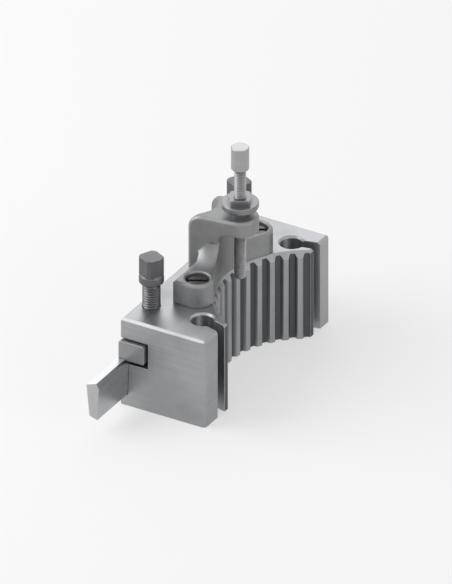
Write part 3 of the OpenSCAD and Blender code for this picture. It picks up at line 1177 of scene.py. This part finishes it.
@dataclass
class Assembly:
    """What the sub-assemblies share.

    Attributes:
        nodes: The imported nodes, by name.
        shop: The maker of the materials.
    """

    nodes: dict[str, bpy.types.Object]
    shop: FinishShop

    def hand_over(self, piece: bpy.types.Object, node: str, body: str, finish: SteelFinish
                  ) -> bpy.types.Object:
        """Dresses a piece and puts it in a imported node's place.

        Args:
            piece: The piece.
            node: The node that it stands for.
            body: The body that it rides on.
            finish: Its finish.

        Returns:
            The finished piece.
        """
        piece.data.materials.clear()
        piece.data.materials.append(self.shop.material(finish, piece.name, box_axis(node)))
        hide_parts(node)
        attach(piece, body)
        return piece

    def work_over(self, node: str, name: str, body: str, finish: SteelFinish, edge: float
                  ) -> bpy.types.Object:
        """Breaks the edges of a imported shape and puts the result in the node's place.

        Args:
            node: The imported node.
            name: Name of the finished piece.
            body: The body that it rides on.
            finish: Its finish.
            edge: Width of the rounding of its edges.

        Returns:
            The finished piece.
        """
        piece = whole_copy(self.nodes[node], name)
        break_edges(piece, edge)
        return self.hand_over(piece, node, body, finish)


@dataclass
class ToolBlock(Assembly):
    """The block with its toothed, hooked seat, and the dowels that place the casting on it.

    Attributes:
        block_edge: Width of the block's broken edges.
        dowel_edge: Width of the dowels' broken edges.
    """

    block_edge: float = 0.25 * MM
    dowel_edge: float = 0.1 * MM

    def build(self) -> list[bpy.types.Object]:
        """Works over the block and the two dowels.

        Returns:
            The finished pieces.
        """
        return [
            self.work_over(
                "holder_body", "ground_tool_block", "holder", GROUND_BLOCK, self.block_edge),
            self.work_over(
                "front_dowel", "front_ground_dowel", "holder", DOWEL_STEEL, self.dowel_edge),
            self.work_over(
                "rear_dowel", "rear_ground_dowel", "holder", DOWEL_STEEL, self.dowel_edge),
        ]


@dataclass
class BladeClamp(Assembly):
    """The parting blade and the bar that holds it down in its groove.

    Attributes:
        blade_edge: Width of the blade's broken edges.
        bar_edge: Width of the bar's broken edges.
    """

    blade_edge: float = 0.1 * MM
    bar_edge: float = 0.22 * MM

    def build(self) -> list[bpy.types.Object]:
        """Works over the blade and the bar.

        Returns:
            The finished pieces.
        """
        return [
            self.work_over(
                "parting_blade", "ground_parting_blade", "blade", GROUND_BLADE, self.blade_edge),
            self.work_over("clamp_bar", "ground_clamp_bar", "bar", GROUND_BAR, self.bar_edge),
        ]


@dataclass
class StopCasting(Assembly):
    """The bolted casting that carries the height stop.

    Attributes:
        grid: Width of the grid on which its skin is rebuilt.
        passes: How often the skin is evened.
    """

    grid: float = 0.36 * MM
    passes: int = 6

    def build(self) -> list[bpy.types.Object]:
        """Gives the casting the rounded edges and soft corners that its mould left.

        Returns:
            The finished piece, in a list.
        """
        piece = whole_copy(self.nodes["stop_bracket"], "cast_stop_bracket")
        round_skin(piece, self.grid, self.passes)
        return [self.hand_over(piece, "stop_bracket", "holder", CAST_BRACKET)]


@dataclass
class ClampScrews(Assembly):
    """The two square-head screws, each with a collar and a threaded shank.

    Attributes:
        thread_r: Outer radius of the thread.
        pitch: Rise of each turn of the thread.
        point: Height and depth of the bevel at the lower end.
        relief_h: Height of the groove under the collar.
        relief_depth: Depth of that groove.
        relief_lap: How far the groove's core reaches into the thread.
        collar_r: Radius of the collar.
        collar_h: Height of the collar.
        collar_edge: Bevel under the collar.
        cone_h: Height of the cone from the collar to the square.
        cone_margin: How far the cone's upper end stands out past the flats.
        square_w: Width of the square across its flats.
        square_h: Height of the square.
        square_overlap: How far the cone climbs up the square.
        square_turn: Turn of the square.
        corner_share: Radius of the square's turned corners, as a share of its width.
        tip_margin: How far the limit of the thread stands clear of it.
        edge: Width of the broken edges.
    """

    thread_r: float = 4.9 * MM
    pitch: float = 1.5 * MM
    point: float = 1.0 * MM
    relief_h: float = 1.4 * MM
    relief_depth: float = 0.5 * MM
    relief_lap: float = 0.3 * MM
    collar_r: float = 6.7 * MM
    collar_h: float = 3.2 * MM
    collar_edge: float = 0.5 * MM
    cone_h: float = 1.6 * MM
    cone_margin: float = 0.4 * MM
    square_w: float = 10.8 * MM
    square_h: float = 10.8 * MM
    square_overlap: float = 0.4 * MM
    square_turn: float = math.radians(-26.0)
    corner_share: float = 0.61
    tip_margin: float = 0.2 * MM
    edge: float = 0.18 * MM

    def build(self) -> list[bpy.types.Object]:
        """Models one screw, copies it to the other end and hands both over.

        Returns:
            The finished pieces.
        """
        front = self._screw("front_clamp_screw", "front_square_screw")
        shift = box_axis("rear_clamp_screw") - box_axis("front_clamp_screw")
        rear = shifted_copy(front, "rear_square_screw", shift)
        return [
            self.hand_over(front, "front_clamp_screw", "front_screw", DARK_SCREWS),
            self.hand_over(rear, "rear_clamp_screw", "rear_screw", DARK_SCREWS),
        ]

    def _screw(self, node: str, name: str) -> bpy.types.Object:
        """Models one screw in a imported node's place.

        Args:
            node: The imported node.
            name: The screw's name.

        Returns:
            The screw.
        """
        low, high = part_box(node)
        axis = box_axis(node)
        square_z = high.z - self.square_h
        cone_top = square_z + self.square_overlap
        rim_top = cone_top - self.cone_h
        seat = rim_top - self.collar_h
        neck = self.thread_r - self.relief_depth
        screw = turned_solid(name, axis, [
            (neck, seat - self.relief_h - self.relief_lap),
            (neck, seat),
            (self.collar_r - self.collar_edge, seat + HAIR),
            (self.collar_r, seat + self.collar_edge),
            (self.collar_r, rim_top),
            (self.square_w / 2 + self.cone_margin, cone_top),
        ])
        square = squared_solid(
            f"{name}_square", axis, self.square_w, self.square_w * self.corner_share,
            square_z, high.z, self.square_turn)
        combine(screw, square, Fuse.ADD)
        break_edges(screw, self.edge)
        combine(screw, self._shank(name, axis, low.z, seat - self.relief_h), Fuse.ADD)
        smooth(screw)
        return screw

    def _shank(self, name: str, axis: Vector, low: float, high: float) -> bpy.types.Object:
        """Winds the threaded shank and bevels its lower end.

        Args:
            name: The screw's name.
            axis: A point on its axis.
            low: Lower end of the screw.
            high: Upper end of the thread.

        Returns:
            The shank.
        """
        shank = threaded_rod(
            f"{name}_thread", axis, self.thread_r, self.pitch, low + 2 * HAIR, high)
        clear_r = self.thread_r + self.tip_margin
        tip = turned_solid(f"{name}_tip", axis, [
            (self.thread_r - self.point, low),
            (clear_r, low + self.point + self.tip_margin),
            (clear_r, high + OVERSHOOT),
        ])
        combine(shank, tip, Fuse.KEEP_COMMON)
        return shank


@dataclass
class FootScrews(Assembly):
    """The two slotted cheese-head screws in the feet's counterbores.

    Attributes:
        shank_r: Radius of the shank.
        head_r: Radius of the head.
        head_h: Height of the head.
        bevel: Bevel of both ends.
        crown_share: How far in the bevel of the head breaks, as a share of it.
        slot_w: Width of the slot.
        slot_d: Depth of the slot.
        slot_reach: Length of the block that cuts the slot, as a multiple of the head's radius.
        slot_turn: Turn of the slot.
        edge: Width of the broken edges.
    """

    shank_r: float = 3.0 * MM
    head_r: float = 5.5 * MM
    head_h: float = 4.4 * MM
    bevel: float = 0.7 * MM
    crown_share: float = 0.3
    slot_w: float = 2.2 * MM
    slot_d: float = 2.0 * MM
    slot_reach: float = 4.0
    slot_turn: float = math.radians(30.0)
    edge: float = 0.14 * MM

    def build(self) -> list[bpy.types.Object]:
        """Models one screw, copies it to the other foot and hands both over.

        Returns:
            The finished pieces.
        """
        front = self._screw("front_foot_screw", "front_slotted_screw")
        shift = box_axis("rear_foot_screw") - box_axis("front_foot_screw")
        rear = shifted_copy(front, "rear_slotted_screw", shift)
        return [
            self.hand_over(front, "front_foot_screw", "holder", DARK_FOOT_SCREWS),
            self.hand_over(rear, "rear_foot_screw", "holder", DARK_FOOT_SCREWS),
        ]

    def _screw(self, node: str, name: str) -> bpy.types.Object:
        """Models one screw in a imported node's place.

        Args:
            node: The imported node.
            name: The screw's name.

        Returns:
            The screw.
        """
        low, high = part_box(node)
        axis = box_axis(node)
        seat = high.z - self.head_h
        crown = self.crown_share * self.bevel
        screw = turned_solid(name, axis, [
            (self.shank_r - self.bevel, low.z),
            (self.shank_r, low.z + self.bevel),
            (self.shank_r, seat),
            (self.head_r, seat + HAIR),
            (self.head_r, high.z - self.bevel),
            (self.head_r - crown, high.z - crown),
            (self.head_r - self.bevel, high.z),
        ])
        slot = straight_block(
            f"{name}_slot", Vector((axis.x, axis.y, high.z)),
            (self.slot_reach * self.head_r, self.slot_w, 2 * self.slot_d), self.slot_turn)
        combine(screw, slot, Fuse.CUT)
        break_edges(screw, self.edge)
        return screw


@dataclass
class HeightStop(Assembly):
    """The threaded stud, its cap and its lock nut.

    Attributes:
        stud_r: Outer radius of the stud's thread.
        pitch: Rise of each turn of the thread.
        thread_top: Gap between the end of the thread and the cap.
        run_out_low: Where the thread starts to run out, below the cap.
        run_out_high: Where it has run out, below the cap.
        run_out_margin: How far the limit of the thread stands clear of it.
        tip_r: Radius of the stud's flat tip.
        tip_crown: Height of the slight crown round the tip.
        tip_point: Height and depth of the bevel above the crown.
        neck_r: Radius of the stud's neck and of the bore in the cap.
        neck_play: Play of the neck in that bore.
        neck_root: How far the neck reaches down into the thread.
        cap_edge: Rounding of the cap's lower edge.
        cap_crown: Share of that rounding at which it breaks.
        cap_crown_in: Share by which the break stands in from the cap's side.
        nut_neck_r: Radius of the nut's neck.
        nut_neck_h: Height of the nut's neck.
        flange_h: Height of the flange, with its dished underside.
        dish: Height of the dished underside.
        dish_steps: Shares of the dish's height at its inner and outer break.
        rim_step: Depth of the flange's outer break.
        rim_share: Share of that depth at which the rim curves up.
        square_w: Width of the spanner square across its flats.
        square_turn: Turn of the spanner square.
        corner_share: Radius of the square's turned corners, as a share of its width.
        top_bevel: Bevel of the upper edges of the cap and the flange.
        clearance: Play of the turned pieces round the stud.
        cap_broken: Width of the cap's broken edges.
        nut_broken: Width of the nut's broken edges.
        axis: A point on the stud's axis.
    """

    stud_r: float = 3.2 * MM
    pitch: float = 1.0 * MM
    thread_top: float = 0.6 * MM
    run_out_low: float = 1.0 * MM
    run_out_high: float = 0.5 * MM
    run_out_margin: float = 0.1 * MM
    tip_r: float = 1.6 * MM
    tip_crown: float = 0.2 * MM
    tip_point: float = 1.1 * MM
    neck_r: float = 2.6 * MM
    neck_play: float = 0.2 * MM
    neck_root: float = 2.0 * MM
    cap_edge: float = 0.7 * MM
    cap_crown: float = 0.3
    cap_crown_in: float = 0.25
    nut_neck_r: float = 5.0 * MM
    nut_neck_h: float = 2.1 * MM
    flange_h: float = 6.0 * MM
    dish: float = 3.3 * MM
    dish_steps: tuple[float, float] = (0.4, 0.68)
    rim_step: float = 1.6 * MM
    rim_share: float = 0.35
    square_w: float = 10.9 * MM
    square_turn: float = math.radians(30.0)
    corner_share: float = 0.66
    top_bevel: float = 0.3 * MM
    clearance: float = 0.05 * MM
    cap_broken: float = 0.15 * MM
    nut_broken: float = 0.16 * MM
    axis: Vector = field(init=False)

    def __post_init__(self) -> None:
        """Finds the stud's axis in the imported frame."""
        self.axis = box_axis("height_stud")

    def build(self) -> list[bpy.types.Object]:
        """Models the three pieces.

        Returns:
            The finished pieces.
        """
        return [
            self.hand_over(self._stud(), "height_stud", "stud", BRIGHT_STUD),
            self.hand_over(self._cap(), "stud_cap", "stud", TURNED_CAP),
            self.hand_over(self._nut(), "lock_nut", "nut", TURNED_NUT),
        ]

    def _stud(self) -> bpy.types.Object:
        """Models the stud with its thread, its rounded tip and the neck inside the cap.

        Returns:
            The stud.
        """
        low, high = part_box("height_stud")
        cap_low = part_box("stud_cap")[0].z
        stud = threaded_rod(
            "threaded_height_stud", self.axis, self.stud_r, self.pitch, low.z + HAIR,
            cap_low - self.thread_top)
        crown_z = low.z + self.tip_crown
        clear_r = self.stud_r + self.run_out_margin
        limit = turned_solid("stud_limit", self.axis, [
            (self.tip_r, low.z),
            (self.stud_r - self.tip_point, crown_z),
            (clear_r, crown_z + self.tip_point + self.run_out_margin),
            (clear_r, cap_low - self.run_out_low),
            (self.neck_r, cap_low - self.run_out_high),
        ])
        combine(stud, limit, Fuse.KEEP_COMMON)
        core_r = self.neck_r - self.neck_play
        neck = turned_solid("stud_neck", self.axis, [
            (core_r, cap_low - self.neck_root), (core_r, high.z)])
        combine(stud, neck, Fuse.ADD)
        smooth(stud)
        return stud

    def _cap(self) -> bpy.types.Object:
        """Models the turned cap on the stud's upper end.

        Returns:
            The cap.
        """
        low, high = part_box("stud_cap")
        radius = (high.x - low.x) / 2
        cap = turned_solid("turned_stud_cap", self.axis, [
            (self.neck_r + self.clearance, low.z + HAIR),
            (radius - self.cap_edge, low.z),
            (radius - self.cap_crown_in * self.cap_edge, low.z + self.cap_crown * self.cap_edge),
            (radius, low.z + self.cap_edge),
            (radius, high.z - self.top_bevel),
            (radius - self.top_bevel, high.z),
        ])
        bore = turned_solid("cap_bore", self.axis, [
            (self.neck_r, low.z - OVERSHOOT), (self.neck_r, (low.z + high.z) / 2)])
        combine(cap, bore, Fuse.CUT)
        break_edges(cap, self.cap_broken)
        return cap

    def _nut(self) -> bpy.types.Object:
        """Models the flanged lock nut with its spanner square and its bore.

        Returns:
            The nut.
        """
        low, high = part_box("lock_nut")
        radius = (high.x - low.x) / 2
        flange_z = low.z + self.nut_neck_h
        flange_top = flange_z + self.flange_h
        inner_step, outer_step = self.dish_steps
        nut = turned_solid("flanged_lock_nut", self.axis, [
            (self.nut_neck_r, low.z),
            (self.nut_neck_r, flange_z),
            (radius - self.rim_step, flange_z + inner_step * self.dish),
            (radius - self.rim_share * self.rim_step, flange_z + outer_step * self.dish),
            (radius, flange_z + self.dish),
            (radius, flange_top - self.top_bevel),
            (radius - self.top_bevel, flange_top),
        ])
        square = squared_solid(
            "nut_square", self.axis, self.square_w, self.square_w * self.corner_share,
            flange_top - self.top_bevel, high.z, self.square_turn)
        combine(nut, square, Fuse.ADD)
        bore_r = self.stud_r + self.clearance
        bore = turned_solid("nut_bore", self.axis, [
            (bore_r, low.z - OVERSHOOT), (bore_r, high.z + OVERSHOOT)])
        combine(nut, bore, Fuse.CUT)
        break_edges(nut, self.nut_broken)
        return nut


@dataclass(frozen=True)
class SoftLamp:
    """A round lamp.

    Attributes:
        name: The lamp's name.
        place: Where it hangs.
        size: Its diameter.
        power: Its power in watts.
    """

    name: str
    place: tuple[float, float, float]
    size: float
    power: float

    def hang(self, target: Vector) -> None:
        """Hangs the lamp and turns it to a point.

        Args:
            target: The point.
        """
        data = bpy.data.lights.new(self.name, "AREA")
        data.shape = "DISK"
        data.size = self.size
        data.energy = self.power
        lamp = bpy.data.objects.new(self.name, data)
        bpy.context.scene.collection.objects.link(lamp)
        lamp.location = self.place
        lamp.rotation_mode = "QUATERNION"
        lamp.rotation_quaternion = (target - lamp.location).to_track_quat("-Z", "Y")


# Over the front left, at the right and behind.
SOFT_LAMPS = (
    SoftLamp(name="key_lamp", place=(-1.0, -0.55, 0.75), size=1.3, power=12.5),
    SoftLamp(name="side_lamp", place=(1.0, -0.15, 0.45), size=0.5, power=1.0),
    SoftLamp(name="back_lamp", place=(-0.55, 0.95, 0.8), size=0.8, power=2.0),
)


@dataclass
class Studio:
    """The camera at the drawing's angle, the lamps, the world and the floor.

    Attributes:
        azimuth: The camera's angle to the right of the front.
        elevation: The camera's angle above the floor.
        mm_per_pixel: Millimetres that one pixel of the drawing shows.
        picture_w: Width of the drawing in pixels.
        picture_h: Height of the drawing in pixels.
        corner_pixel: Pixel of the block's lower front corner in the drawing.
        distance: The camera's distance.
        clip_end: How far the camera sees.
        lamp_target: The point at which the lamps are turned.
        ambient: Strength of the even light.
        floor_size: Width of the floor.
        floor_colour: Colour of the floor.
        floor_glow: Share of white in the floor as the camera sees it.
    """

    azimuth: float = math.radians(30.3)
    elevation: float = math.radians(30.4)
    mm_per_pixel: float = 0.5263
    picture_w: int = 452
    picture_h: int = 584
    corner_pixel: tuple[float, float] = (205.2, 428.6)
    distance: float = 1.2
    clip_end: float = 10.0
    lamp_target: tuple[float, float, float] = (0.01, -0.01, 0.04)
    ambient: float = 0.62
    floor_size: float = 6.0
    floor_colour: Colour = (0.86, 0.86, 0.86)
    floor_glow: float = 0.5

    def build(self) -> None:
        """Sets up everything around the object."""
        self._camera()
        for lamp in SOFT_LAMPS:
            lamp.hang(Vector(self.lamp_target))
        self._world()
        self._floor()
        bpy.context.scene.view_settings.view_transform = "Standard"

    def _camera(self) -> None:
        """Places the parallel camera by the block's lower front corner in the drawing."""
        low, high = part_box("holder_body")
        corner = Vector((high.x, low.y, low.z))
        a, e = self.azimuth, self.elevation
        back = Vector((math.sin(a) * math.cos(e), -math.cos(a) * math.cos(e), math.sin(e)))
        right = Vector((math.cos(a), math.sin(a), 0.0))
        up = back.cross(right)
        pixel = self.mm_per_pixel * MM
        middle = (corner + right * (self.picture_w / 2 - self.corner_pixel[0]) * pixel
                  + up * (self.corner_pixel[1] - self.picture_h / 2) * pixel)
        data = bpy.data.cameras.new("drawing_camera")
        data.type = "ORTHO"
        data.ortho_scale = self.picture_h * pixel
        data.clip_end = self.clip_end
        camera = bpy.data.objects.new("drawing_camera", data)
        bpy.context.scene.collection.objects.link(camera)
        camera.location = middle + back * self.distance
        camera.rotation_mode = "QUATERNION"
        camera.rotation_quaternion = (-back).to_track_quat("-Z", "Y")
        bpy.context.scene.camera = camera

    def _world(self) -> None:
        """Lights the scene evenly, and shows white behind it and in reflections."""
        world = bpy.data.worlds.new("studio_world")
        bpy.context.scene.world = world
        world.use_nodes = True
        sheet = NodeSheet(world.node_tree)
        seen = self._seen_directly(sheet)
        ground = sheet.add("ShaderNodeBackground")
        sheet.feed(ground.inputs["Color"], rgba(WHITE))
        sheet.feed(ground.inputs["Strength"], sheet.blend(seen, self.ambient, 1.0))
        ending = sheet.add("ShaderNodeOutputWorld")
        sheet.feed(ending.inputs["Surface"], ground.outputs[0])

    @staticmethod
    def _seen_directly(sheet: NodeSheet) -> bpy.types.NodeSocket:
        """Tells the rays that show the background from those that only light the object.

        Args:
            sheet: The sheet of the world or the floor.

        Returns:
            1 for camera, glossy and transmission rays, and 0 for the rest.
        """
        path = sheet.add("ShaderNodeLightPath")
        seen = sheet.math("MAXIMUM", path.outputs["Is Camera Ray"], path.outputs["Is Glossy Ray"])
        return sheet.math("MAXIMUM", seen, path.outputs["Is Transmission Ray"])

    def _floor(self) -> None:
        """Lays a pale floor that is nearly white to the camera and keeps the shadow."""
        deselect_all()
        bpy.ops.mesh.primitive_plane_add(size=self.floor_size)
        floor = bpy.context.active_object
        floor.name = "studio_floor"
        pale = bpy.data.materials.new("studio_floor")
        pale.use_nodes = True
        sheet = NodeSheet(pale.node_tree)
        matt = sheet.add("ShaderNodeBsdfDiffuse")
        sheet.feed(matt.inputs["Color"], rgba(self.floor_colour))
        glow = sheet.add("ShaderNodeEmission")
        sheet.feed(glow.inputs["Color"], rgba(WHITE))
        share = sheet.math("MULTIPLY", self._seen_directly(sheet), self.floor_glow)
        both = sheet.add("ShaderNodeMixShader")
        sheet.feed_all(both.inputs, (share, matt.outputs[0], glow.outputs[0]))
        ending = sheet.add("ShaderNodeOutputMaterial")
        sheet.feed(ending.inputs["Surface"], both.outputs[0])
        floor.data.materials.append(pale)


def main() -> None:
    """Loads the frame, builds the studio and each sub-assembly, and reports every piece."""
    logging.basicConfig(level=logging.INFO, format="%(name)s: %(message)s")
    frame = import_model()
    nodes = frame["nodes"]
    mounts = {mount["name"]: mount for mount in frame["record"]["mounts"]}
    tooth_tips = Vector(mounts["toothed_arc"]["pos_m"])
    shop = FinishShop(SurfaceEffects(), tooth_tips + Vector((TOOTH_TIP_R, 0.0, 0.0)))
    Studio().build()
    for kind in (ToolBlock, BladeClamp, StopCasting, ClampScrews, FootScrews, HeightStop):
        for piece in kind(nodes, shop).build():
            LOG.info("%s: %s, %d faces", kind.__name__, piece.name, len(piece.data.polygons))


if __name__ == "__main__":
    main()
